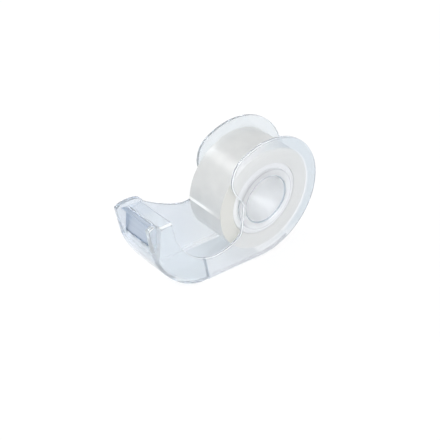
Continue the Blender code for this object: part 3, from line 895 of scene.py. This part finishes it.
def make_blade(sizes, finish):
    """Steel blade: its plate stands in the nose's slot, and its lip leans over the table's front edge."""
    half = BLADE_THICKNESS / 2
    turn = math.radians(BLADE_LIP_DEG)
    lip = Vector((-math.cos(turn), 0.0, math.sin(turn)))
    middle = (NEAR_GUARD_Y + FAR_GUARD_Y) / 2
    bend = Vector((HUB_X + BLADE_X, middle, TABLE_HEIGHT - half))
    foot = Vector((HUB_X + BLADE_X, middle, SLOT_FOOT + JOIN_GAP))
    root = bend + lip * (BLADE_LIP - sizes.tooth_depth)
    mesh = bpy.data.meshes.new("toothed_blade")
    mesh.from_pydata([foot, bend, root], [(0, 1), (1, 2)], [])
    blade = new_object("toothed_blade", mesh)
    values = {
        "Width": BLADE_HIGH.y - BLADE_LOW.y,
        "Teeth": sizes.teeth,
        "Tooth Depth": sizes.tooth_depth,
        "Bend Radius": sizes.blade_bend,
        "Lip Direction": lip,
        "Material": strip_steel(finish),
    }
    put_group(blade, blade_tree(values), values)
    thickness = blade.modifiers.new("sheet_thickness", "SOLIDIFY")
    thickness.thickness = BLADE_THICKNESS
    thickness.offset = 0.0
    thickness.use_even_offset = True
    bake_modifiers(blade)
    polish(blade)
    return blade


def tape_tree(values):
    """Wound film: points laid out from the cut end inwards on a spiral, swept by the film's section."""
    tree, given = node_group("wound_film", values)

    def calc(operation, *terms):
        return maths(tree, operation, *terms)

    points = output_of(tree, "GeometryNodeMeshLine", {"Count": given["Points"]})
    number = output_of(tree, "GeometryNodeInputIndex")
    share = calc("DIVIDE", number, calc("SUBTRACT", given["Points"], 1.0))
    wound = calc("MULTIPLY", calc("POWER", share, TURN_CROWDING), given["Turns"])
    angle_back = calc("MULTIPLY", wound, math.tau)
    angle = calc("SUBTRACT", given["End Angle"], angle_back)
    loose = calc("SUBTRACT", 1.0, calc("DIVIDE", angle_back, given["Lift Angle"]))
    loose = calc("MAXIMUM", loose, 0.0)
    lift = calc("MULTIPLY", calc("POWER", loose, LIFT_CURVE), given["Lift"])
    spiral = calc("SUBTRACT", given["Outer Radius"], calc("MULTIPLY", wound, given["Pitch"]))
    radius = calc("ADD", spiral, lift)
    x = calc("MULTIPLY", radius, calc("COSINE", angle))
    z = calc("MULTIPLY", radius, calc("SINE", angle))
    flat = output_of(tree, "ShaderNodeCombineXYZ", {"X": x, "Z": z})
    place = vector_maths(tree, "ADD", {0: flat, 1: given["Hub"]})
    laid = output_of(tree, "GeometryNodeSetPosition", {"Geometry": points, "Position": place})
    # Painted highlight: the last few degrees of film before the cut end are marked to be painted whiter
    highlighted = calc("LESS_THAN", angle_back, given["Fold Angle"])
    marking = {"Geometry": laid, "Name": END_HIGHLIGHT, "Value": highlighted}
    marked = output_of(tree, "GeometryNodeStoreNamedAttribute", marking, data_type="FLOAT", domain="POINT")
    path = output_of(tree, "GeometryNodeMeshToCurve", {"Mesh": marked})
    size = {"Width": given["Width"], "Height": given["Film"]}
    section = output_of(tree, "GeometryNodeCurvePrimitiveQuadrilateral", size)
    sweep = {"Curve": path, "Profile Curve": section, "Fill Caps": True}
    film = output_of(tree, "GeometryNodeCurveToMesh", sweep)
    end_group(tree, film, given["Material"])
    return tree


def make_tape(sizes, finish):
    """Wound tape: one film in many turns from its lifted cut end down to the core."""
    tape = new_object("wound_tape", bpy.data.meshes.new("wound_tape"))
    film = sizes.tape_pitch - sizes.tape_gap
    outer = ROLL_RADIUS - film / 2
    turns = (outer - CORE_OUTER_RADIUS - sizes.tape_gap - film / 2) / sizes.tape_pitch
    values = {
        "Points": round(turns * TURN_STEPS),
        "Turns": turns,
        "Outer Radius": outer,
        "Pitch": sizes.tape_pitch,
        "End Angle": math.radians(TAPE_END_DEG),
        "Lift": sizes.tape_lift,
        "Lift Angle": LIFT_ANGLE,
        "Fold Angle": HIGHLIGHT_ANGLE,
        "Width": 2 * TAPE_HALF,
        "Film": film,
        "Hub": HUB,
        "Material": matte_film(finish),
    }
    put_group(tape, tape_tree(values), values)
    bake_modifiers(tape)
    tape.data.shade_smooth()
    tape.data.set_sharp_from_angle(angle=SHARP_SHADE_ANGLE)
    return tape


def linear(hex_code):
    """Linear red, green and blue of an sRGB hex colour."""
    values = []
    for start in (1, 3, 5):
        part = int(hex_code[start : start + 2], 16) / 255.0
        values.append(part / 12.92 if part <= 0.04045 else ((part + 0.055) / 1.055) ** 2.4)
    return tuple(values)


def opaque(rgb):
    """A colour with full alpha, as colour sockets take it."""
    return (*rgb, 1.0)


def new_material(name):
    """An empty node material: its tree, its Principled shader and its output."""
    made = bpy.data.materials.new(name)
    made.use_nodes = True
    tree = made.node_tree
    return made, tree, tree.nodes["Principled BSDF"], tree.nodes["Material Output"]


def object_place(tree):
    """Object coordinates, in metres."""
    return add_node(tree, "ShaderNodeTexCoord").outputs["Object"]


def noise(tree, place, size, detail, dimensions="3D"):
    """Noise with a grain of the given size, over places or along one value."""
    socket = "W" if dimensions == "1D" else "Vector"
    inputs = {socket: place, "Scale": 1 / size, "Detail": detail}
    return add_node(tree, "ShaderNodeTexNoise", inputs, noise_dimensions=dimensions).outputs["Fac"]


def map_range(tree, value, across=(0.0, 1.0), to=(0.0, 1.0)):
    """A value's way across one range, laid on another and held at its ends."""
    names = ("Value", "From Min", "From Max", "To Min", "To Max")
    return output_of(tree, "ShaderNodeMapRange", dict(zip(names, (value, *across, *to))))


def blend(tree, factor, first, second):
    """A colour mixed from a first one, which may be a socket, and a second one."""
    if not isinstance(first, bpy.types.NodeSocket):
        first = opaque(first)
    inputs = {"Factor": factor, 6: first, 7: opaque(second)}
    return add_node(tree, "ShaderNodeMix", inputs, data_type="RGBA").outputs[2]


def bump(tree, height, strength, distance):
    """A normal that follows a fine relief."""
    inputs = {"Height": height, "Strength": strength, "Distance": distance}
    return add_node(tree, "ShaderNodeBump", inputs).outputs["Normal"]


def stored(tree, name, output="Fac"):
    """A value that the mesh carries."""
    return add_node(tree, "ShaderNodeAttribute", attribute_name=name).outputs[output]


def from_hub(tree, place):
    """A place's offsets from the hub along each axis, and its distance from the hub's axis."""
    offset = vector_maths(tree, "SUBTRACT", {0: place, 1: HUB})
    flat = vector_maths(tree, "MULTIPLY", {0: offset, 1: (1.0, 0.0, 1.0)})
    parts = add_node(tree, "ShaderNodeSeparateXYZ", {0: offset}).outputs
    return parts, vector_maths(tree, "LENGTH", {0: flat})


def clear_polystyrene(name, finish, deep, limits):
    """Crystal polystyrene, injection moulded in a polished tool.

    It bends light strongly, so walls seen along their length gather its blue toner into grey-blue edges. Its
    rounded edges and broad faces are finely scratched and scatter light as a pale haze; on the rounded edges
    and the floor's far corner that haze is strong enough to paint them white as highlights, and the greyer
    lines along rims and the grey-blue lines on the step, the ledge and the hub's mouth are painted shade.
    Faint flow ripples from the mould keep its flat faces from being perfect mirrors. It takes a deeper
    colour, painted shade, where all limits are passed, each a direction from the hub and the places where
    that starts and ends.
    """
    made, tree, shader, output = new_material(name)
    place = object_place(tree)
    parts, radius = from_hub(tree, place)
    ripple = noise(tree, place, size=9.0 * MM, detail=1.0)
    wipe = noise(tree, place, size=2.5 * MM, detail=3.0)
    gloss = map_range(tree, wipe, across=(0.35, 0.7), to=(0.03, 0.09))
    varied = map_range(tree, ripple, to=(0.985, 1.015))
    tone = vector_maths(tree, "SCALE", {0: stored(tree, FACE_TINT_AND_SHADE, "Color"), "Scale": varied})
    # Painted shade: the share of the deeper, bluer colour grows where all limits are passed
    share = 1.0
    for way, start, end in limits:
        rise = map_range(tree, radius if way == "R" else parts[way], across=(start, end))
        share = maths(tree, "MULTIPLY", share, rise)
    clear = maths(tree, "SUBTRACT", 1.0, stored(tree, FACE_HAZE_AND_HIGHLIGHT))
    root = map_range(tree, radius, across=BOSS_ROOT, to=(0.75, 1.0))
    plastic = {
        "Base Color": blend(tree, share, tone, deep),
        "Roughness": maths(tree, "ADD", gloss, stored(tree, FACE_SATIN)),
        "Transmission Weight": maths(tree, "MULTIPLY", clear, root),
        "Normal": bump(tree, ripple, strength=0.06, distance=0.1 * MM),
        "IOR": finish.plastic_ior,
    }
    set_inputs(tree, shader, plastic)
    lamp_ray = add_node(tree, "ShaderNodeLightPath").outputs["Is Shadow Ray"]
    window = output_of(tree, "ShaderNodeBsdfTransparent", {"Color": opaque(finish.plastic_shade)})
    surface = output_of(tree, "ShaderNodeMixShader", {0: lamp_ray, 1: shader.outputs[0], 2: window})
    absorbing = {"Color": opaque(finish.toner_colour), "Density": finish.toner_density}
    toner = output_of(tree, "ShaderNodeVolumeAbsorption", absorbing)
    set_inputs(tree, output, {"Surface": surface, "Volume": toner})
    return made


def matte_film(finish):
    """Matte acetate tape, wound: pale grey with a satin, finely grained face, and faintly cream cut edges."""
    made, tree, shader, _ = new_material("matte_acetate_film")
    place = object_place(tree)
    parts, radius = from_hub(tree, place)
    turns = noise(tree, radius, size=0.9 * MM, detail=3.0, dimensions="1D")
    cloud = noise(tree, place, size=6.0 * MM, detail=2.0)
    grain = noise(tree, place, size=0.4 * MM, detail=2.0)
    tone = map_range(tree, maths(tree, "MULTIPLY", turns, cloud), across=(0.12, 0.4))
    colour = blend(tree, tone, finish.tape_shade, finish.tape_colour)
    at_edge = maths(tree, "GREATER_THAN", maths(tree, "ABSOLUTE", parts["Y"]), TAPE_HALF - TAPE_EDGE_DEPTH)
    colour = blend(tree, at_edge, colour, finish.tape_edge)
    # Painted highlight: the cut end is painted whiter, fading out towards the near side of the roll
    highlight_fade = map_range(tree, parts["Y"], across=(-HIGHLIGHT_REACH * TAPE_HALF, 0.0))
    painted_highlight = maths(tree, "MULTIPLY", stored(tree, END_HIGHLIGHT), highlight_fade)
    film = {
        "Base Color": blend(tree, painted_highlight, colour, finish.tape_highlight),
        "Roughness": map_range(tree, grain, to=(0.2, 0.3)),
        "Normal": bump(tree, grain, strength=0.08, distance=0.02 * MM),
        "IOR": 1.48,
    }
    set_inputs(tree, shader, film)
    return made


def core_plastic(finish):
    """White moulded polystyrene core: satin, with faint clouds from its mould."""
    made, tree, shader, _ = new_material("white_moulded_core")
    cloud = noise(tree, object_place(tree), size=4.0 * MM, detail=2.0)
    plastic = {
        "Base Color": blend(tree, cloud, finish.core_shade, finish.core_colour),
        "Roughness": map_range(tree, cloud, to=(0.3, 0.45)),
    }
    set_inputs(tree, shader, plastic)
    return made


def strip_steel(finish):
    """Bright rolled steel strip: blue-grey, with fine rolling marks along its width."""
    made, tree, shader, _ = new_material("rolled_steel_strip")
    drawing = {"Vector": object_place(tree), "Scale": (1.0, 0.03, 1.0)}
    marks = noise(tree, output_of(tree, "ShaderNodeMapping", drawing), size=0.5 * MM, detail=3.0)
    steel = {
        "Base Color": blend(tree, marks, finish.blade_shade, finish.blade_colour),
        "Roughness": map_range(tree, marks, to=(0.22, 0.4)),
        "Normal": bump(tree, marks, strength=0.1, distance=0.02 * MM),
        "Metallic": 1.0,
    }
    set_inputs(tree, shader, steel)
    return made


def seen_rays(tree):
    """1 for rays that show the background: straight from the camera, mirrored, or through the clear walls."""
    path = add_node(tree, "ShaderNodeLightPath").outputs
    direct = maths(tree, "MAXIMUM", path["Is Camera Ray"], path["Is Glossy Ray"])
    return maths(tree, "MAXIMUM", direct, path["Is Transmission Ray"])


def make_world(stage):
    """Plain soft light from all round, on a white background."""
    world = bpy.data.worlds.new("studio")
    bpy.context.scene.world = world
    world.use_nodes = True
    tree = world.node_tree
    around = tree.nodes["Background"]
    set_inputs(tree, around, {"Color": opaque(stage.ambient_colour), "Strength": stage.ambient})
    white = output_of(tree, "ShaderNodeBackground", {"Color": (1.0, 1.0, 1.0, 1.0), "Strength": 1.0})
    shown = output_of(tree, "ShaderNodeMixShader", {0: seen_rays(tree), 1: around.outputs[0], 2: white})
    set_inputs(tree, tree.nodes["World Output"], {"Surface": shown})


def make_floor(stage):
    """White sweep: plain paper to the light, and where it is seen a faint shadow topped up to white."""
    made, tree, shader, output = new_material("white_paper_sweep")
    seen = seen_rays(tree)
    paper = {
        "Base Color": blend(tree, seen, stage.paper_colour, (stage.floor_shadow,) * 3),
        "Roughness": 0.9,
        "Specular IOR Level": 0.0,
    }
    set_inputs(tree, shader, paper)
    glow = maths(tree, "MULTIPLY", seen, stage.floor_glow)
    white = output_of(tree, "ShaderNodeEmission", {"Strength": glow})
    both = output_of(tree, "ShaderNodeAddShader", {0: shader.outputs[0], 1: white})
    set_inputs(tree, output, {"Surface": both})
    bm = bmesh.new()
    bmesh.ops.create_circle(bm, cap_ends=True, radius=FLOOR_RADIUS, segments=FLOOR_SEGMENTS)
    bmesh.ops.translate(bm, verts=bm.verts, vec=(0.0, 0.0, -FLOOR_DROP))
    mesh = bpy.data.meshes.new("paper_floor")
    bm.to_mesh(mesh)
    bm.free()
    mesh.materials.append(made)
    floor = new_object("paper_floor", mesh)


def add_softbox(name, azimuth, elevation, distance, width, height, power):
    """A soft lamp round the object; azimuth is from +X towards +Y."""
    lamp = bpy.data.lights.new(name, "AREA")
    lamp.shape = "RECTANGLE"
    lamp.size = width
    lamp.size_y = height
    lamp.energy = power
    turn, rise = math.radians(azimuth), math.radians(elevation)
    aim = Vector((0.0, 0.0, HUB_Z))
    away = Vector((math.cos(turn) * math.cos(rise), math.sin(turn) * math.cos(rise), math.sin(rise)))
    obj = new_object(name, lamp)
    obj.location = aim + away * distance
    obj.rotation_euler = (-away).to_track_quat("-Z", "Y").to_euler()


def make_camera(stage):
    """Camera at the photograph's viewing angle, turned so that the hub falls where the photograph has it."""
    turn, rise, lean = stage.camera_azimuth, stage.camera_elevation, stage.camera_roll
    back = Vector((math.sin(turn) * math.cos(rise), -math.cos(turn) * math.cos(rise), math.sin(rise)))
    level = Vector((math.cos(turn), math.sin(turn), 0.0))
    upright = back.cross(level)
    right = level * math.cos(lean) + upright * math.sin(lean)
    up = upright * math.cos(lean) - level * math.sin(lean)
    eye = HUB + back * stage.camera_distance
    middle = FRAME_PIXELS / 2
    forward = -back + right * ((middle - HUB_PIXEL[0]) / FOCAL_PIXELS)
    forward -= up * ((middle - HUB_PIXEL[1]) / FOCAL_PIXELS)
    back = -forward.normalized()
    right = up.cross(back).normalized()
    up = back.cross(right)
    camera = bpy.data.cameras.new("photo_camera")
    camera.sensor_width = SENSOR_MM
    camera.lens = FOCAL_PIXELS / FRAME_PIXELS * camera.sensor_width
    camera.clip_start = 0.01
    camera.clip_end = 10.0
    obj = new_object("photo_camera", camera)
    turned = Matrix((right, up, back)).transposed().to_4x4()
    obj.matrix_world = Matrix.Translation(eye) @ turned
    bpy.context.scene.camera = obj


def number_property(name, description, default, **settings):
    """A number that the user may change."""
    return bpy.props.FloatProperty(name=name, description=description, default=default, **settings)


def length_property(name, description, length):
    """A length that the user may change."""
    return number_property(name, description, length, unit="LENGTH")


def angle_property(name, description, degrees):
    """An angle that the user may change."""
    return number_property(name, description, math.radians(degrees), subtype="ANGLE")


def power_property(name, description, watts):
    """A lamp's power that the user may change."""
    return number_property(name, description, watts, unit="POWER")


def share_property(name, description, share):
    """A share that the user may change."""
    return number_property(name, description, share, min=0.0, max=1.0)


def colour_property(name, description, hex_code):
    """A colour that the user may change."""
    return bpy.props.FloatVectorProperty(
        name=name, description=description, default=linear(hex_code), subtype="COLOR", min=0.0, max=1.0
    )


class DispenserSizes(bpy.types.PropertyGroup):
    """Small sizes of the visual pieces; the large ones come from the frame."""

    rim_round: length_property("Rim Rounding", "Rounding of the body's open rims", 0.3 * MM)
    nose_round: length_property("Nose Rounding", "Rounding of the edges on the nose", 0.1 * MM)
    teeth: bpy.props.IntProperty(name="Teeth", description="Number of the blade's teeth", default=16, min=1)
    tooth_depth: length_property("Tooth Depth", "Depth of the blade's teeth", 0.8 * MM)
    blade_bend: length_property("Blade Bend", "Radius of the bend in the blade", 0.5 * MM)
    core_round: length_property("Core Lip", "Rounding of the core's lips", 0.4 * MM)
    tape_pitch: length_property("Tape Pitch", "Radial step of one turn of tape", 0.25 * MM)
    tape_gap: length_property("Tape Gap", "Gap between two turns of tape", 0.012 * MM)
    tape_lift: length_property("Tape Lift", "How far the cut end stands off the roll", 0.45 * MM)


class DispenserFinish(bpy.types.PropertyGroup):
    """Colours and optical values of the finishes, among them painted shade and painted highlights."""

    body_tint: colour_property("Body Tint", "Colour of the body's broad faces", "#EFF3F6")
    # Painted shade: darker, bluer colour painted on the floor and the belly ahead of the roll
    floor_shade_tint: colour_property("Floor Tint", "Colour of the floor and the belly", "#DFE5EA")
    cover_tint: colour_property("Cover Tint", "Colour of the cover's plate", "#F8F9FB")
    # Painted shade: bluer colour painted on the cover's margin round the roll
    margin_shade: colour_property("Margin Tint", "Bluer colour of the cover round the roll", "#DFE6EC")
    # Painted shade: bluer colour painted on the far wall towards the nose
    bow_shade: colour_property("Bow Tint", "Bluer colour of the far wall towards the nose", "#E8EDF3")
    # Painted light: kept near white so that hazed rims read as highlights and the floor under the roll stays
    # lighter than its shade
    rim_tint: colour_property("Rim Tint", "Colour of rims, floor and hub, which stay clearer", "#FDFEFF")
    # Painted shade: grey-blue painted on the step, the ledge and the hub's mouth
    shade_line_tint: colour_property("Line Tint", "Grey-blue of the step, the ledge and the hub's mouth", "#BECAD6")
    # Painted shade: greyer tint painted along the rims
    rim_shade_tint: colour_property("Rim Foot Tint", "Greyer lines along the rims", "#E2E9EF")
    body_haze: share_property("Body Haze", "Share of light that the body's broad faces scatter", 0.18)
    cover_haze: share_property("Cover Haze", "Share of light that the cover's plate scatters", 0.24)
    rim_haze: share_property("Rim Haze", "Share of light that the middle of a rim scatters", 0.1)
    # Painted highlight: this strong haze paints rounded edges and the floor's far corner white
    edge_highlight_haze: share_property("Edge Haze", "Share of light that rounded edges scatter", 0.85)
    hub_haze: share_property("Hub Haze", "Share of light that the hub and the floor scatter", 0.12)
    hub_satin: share_property("Hub Satin", "Roughness added in the hub", 0.36)
    plastic_shade: colour_property("Plastic Shade", "What one clear face lets pass to the floor", "#FDFDFE")
    plastic_ior: number_property("Plastic IOR", "How strongly the clear walls bend light", 1.59)
    toner_colour: colour_property("Toner Colour", "Colour that deep walls take", "#B4C8D6")
    toner_density: number_property("Toner Density", "How quickly deep walls take colour, per metre", 4.0)
    tape_colour: colour_property("Tape", "Face of the tape", "#D3D4D2")
    tape_shade: colour_property("Tape Shade", "Duller parts of the tape's face", "#CACBCA")
    tape_edge: colour_property("Tape Edge", "Paler cut edges of the tape", "#DBDBD6")
    # Painted highlight: colour of the whiter strip painted along the tape's lifted cut end
    tape_highlight: colour_property("Tape Fold", "Whiter folded end of the tape", "#F6F6F4")
    core_colour: colour_property("Core", "White core plastic", "#F1F2F2")
    core_shade: colour_property("Core Shade", "Duller parts of the core", "#E6E8E9")
    blade_colour: colour_property("Blade", "Bright steel", "#C9D3E0")
    blade_shade: colour_property("Blade Shade", "Rolling marks in the steel", "#A9B5C6")


class DispenserStage(bpy.types.PropertyGroup):
    """Camera and light."""

    camera_azimuth: angle_property("Azimuth", "Camera's turn about the object", -43.92)
    camera_elevation: angle_property("Elevation", "Camera's height above the horizon", 32.37)
    camera_roll: angle_property("Roll", "Camera's lean", 4.57)
    camera_distance: length_property("Distance", "Camera's distance from the hub", 0.5824)
    ambient: number_property("Ambient", "Strength of the light all round", 0.93)
    ambient_colour: colour_property("Ambient Colour", "Colour of the light all round", "#FAFBFD")
    paper_colour: colour_property("Paper", "Colour that the floor's paper has to the light", "#F2F2F2")
    floor_shadow: number_property("Floor Shadow", "How strongly the floor shows the object's shadow", 0.2)
    floor_glow: number_property("Floor Top-up", "What lifts the lit floor to white where it is seen", 0.82)
    key_power: power_property("Key", "Soft lamp behind the object", 1.0)
    fill_power: power_property("Fill", "Soft lamp at the near side", 0.9)
    front_power: power_property("Front", "Low soft lamp before the nose", 1.1)


class DISPENSER_OT_mould_body(bpy.types.Operator):
    """Mould the clear body with its boss, nose and near wall"""

    bl_idname = "dispenser.mould_body"
    bl_label = "Mould Body"

    def execute(self, context):
        body = make_body(context.scene.dispenser_sizes, context.scene.dispenser_finish)
        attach(body, "body")
        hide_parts("body_shell")
        return {"FINISHED"}


class DISPENSER_OT_mould_cover(bpy.types.Operator):
    """Mould the clear cover that closes the near side"""

    bl_idname = "dispenser.mould_cover"
    bl_label = "Mould Cover"

    def execute(self, context):
        cover = make_cover(context.scene.dispenser_finish)
        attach(cover, "body")
        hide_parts("side_cover")
        return {"FINISHED"}


class DISPENSER_OT_stamp_blade(bpy.types.Operator):
    """Stamp the toothed steel blade"""

    bl_idname = "dispenser.stamp_blade"
    bl_label = "Stamp Blade"

    def execute(self, context):
        blade = make_blade(context.scene.dispenser_sizes, context.scene.dispenser_finish)
        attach(blade, "body")
        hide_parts("cutter_blade")
        return {"FINISHED"}


class DISPENSER_OT_turn_core(bpy.types.Operator):
    """Turn the ring that the tape is wound on"""

    bl_idname = "dispenser.turn_core"
    bl_label = "Turn Core"

    def execute(self, context):
        core = make_core(context.scene.dispenser_sizes, context.scene.dispenser_finish)
        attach(core, "roll")
        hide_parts("tape_core")
        return {"FINISHED"}


class DISPENSER_OT_wind_tape(bpy.types.Operator):
    """Wind the tape on its core"""

    bl_idname = "dispenser.wind_tape"
    bl_label = "Wind Tape"

    def execute(self, context):
        tape = make_tape(context.scene.dispenser_sizes, context.scene.dispenser_finish)
        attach(tape, "roll")
        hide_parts("tape_roll")
        return {"FINISHED"}


class DISPENSER_OT_set_stage(bpy.types.Operator):
    """Set the camera, the floor, the world and the lamps"""

    bl_idname = "dispenser.set_stage"
    bl_label = "Set Stage"

    def execute(self, context):
        stage = context.scene.dispenser_stage
        make_camera(stage)
        make_world(stage)
        make_floor(stage)
        for name, placing in SOFTBOXES.items():
            add_softbox(f"{name}_softbox", *placing, getattr(stage, f"{name}_power"))
        context.scene.view_settings.view_transform = "Standard"
        for kind in ("max_bounces", "glossy_bounces", "transmission_bounces", "transparent_max_bounces"):
            setattr(context.scene.cycles, kind, CLEAR_WALL_BOUNCES)
        context.scene.cycles.blur_glossy = 0.0
        return {"FINISHED"}


OPERATORS = (
    DISPENSER_OT_set_stage,
    DISPENSER_OT_mould_body,
    DISPENSER_OT_mould_cover,
    DISPENSER_OT_stamp_blade,
    DISPENSER_OT_turn_core,
    DISPENSER_OT_wind_tape,
)


class DISPENSER_PT_panel(bpy.types.Panel):
    """Lists the steps and the values that they read"""

    bl_idname = "DISPENSER_PT_panel"
    bl_label = "Tape Dispenser"
    bl_space_type = "VIEW_3D"
    bl_region_type = "UI"
    bl_category = "Dispenser"

    def draw(self, context):
        for operator in OPERATORS:
            self.layout.operator(operator.bl_idname)
        for name in GROUPS:
            group = getattr(context.scene, name)
            box = self.layout.box()
            for key in group.__annotations__:
                box.prop(group, key)


GROUPS = {
    "dispenser_sizes": DispenserSizes,
    "dispenser_finish": DispenserFinish,
    "dispenser_stage": DispenserStage,
}
CLASSES = (*GROUPS.values(), *OPERATORS, DISPENSER_PT_panel)


def register():
    for item in CLASSES:
        bpy.utils.register_class(item)
    for name, group in GROUPS.items():
        setattr(bpy.types.Scene, name, bpy.props.PointerProperty(type=group))


def unregister():
    for name in GROUPS:
        delattr(bpy.types.Scene, name)
    for item in reversed(CLASSES):
        bpy.utils.unregister_class(item)


def main():
    register()
    bpy.ops.dispenser.set_stage()
    bpy.ops.dispenser.mould_body()
    bpy.ops.dispenser.mould_cover()
    bpy.ops.dispenser.stamp_blade()
    bpy.ops.dispenser.turn_core()
    bpy.ops.dispenser.wind_tape()


if __name__ == "__main__":
    main()
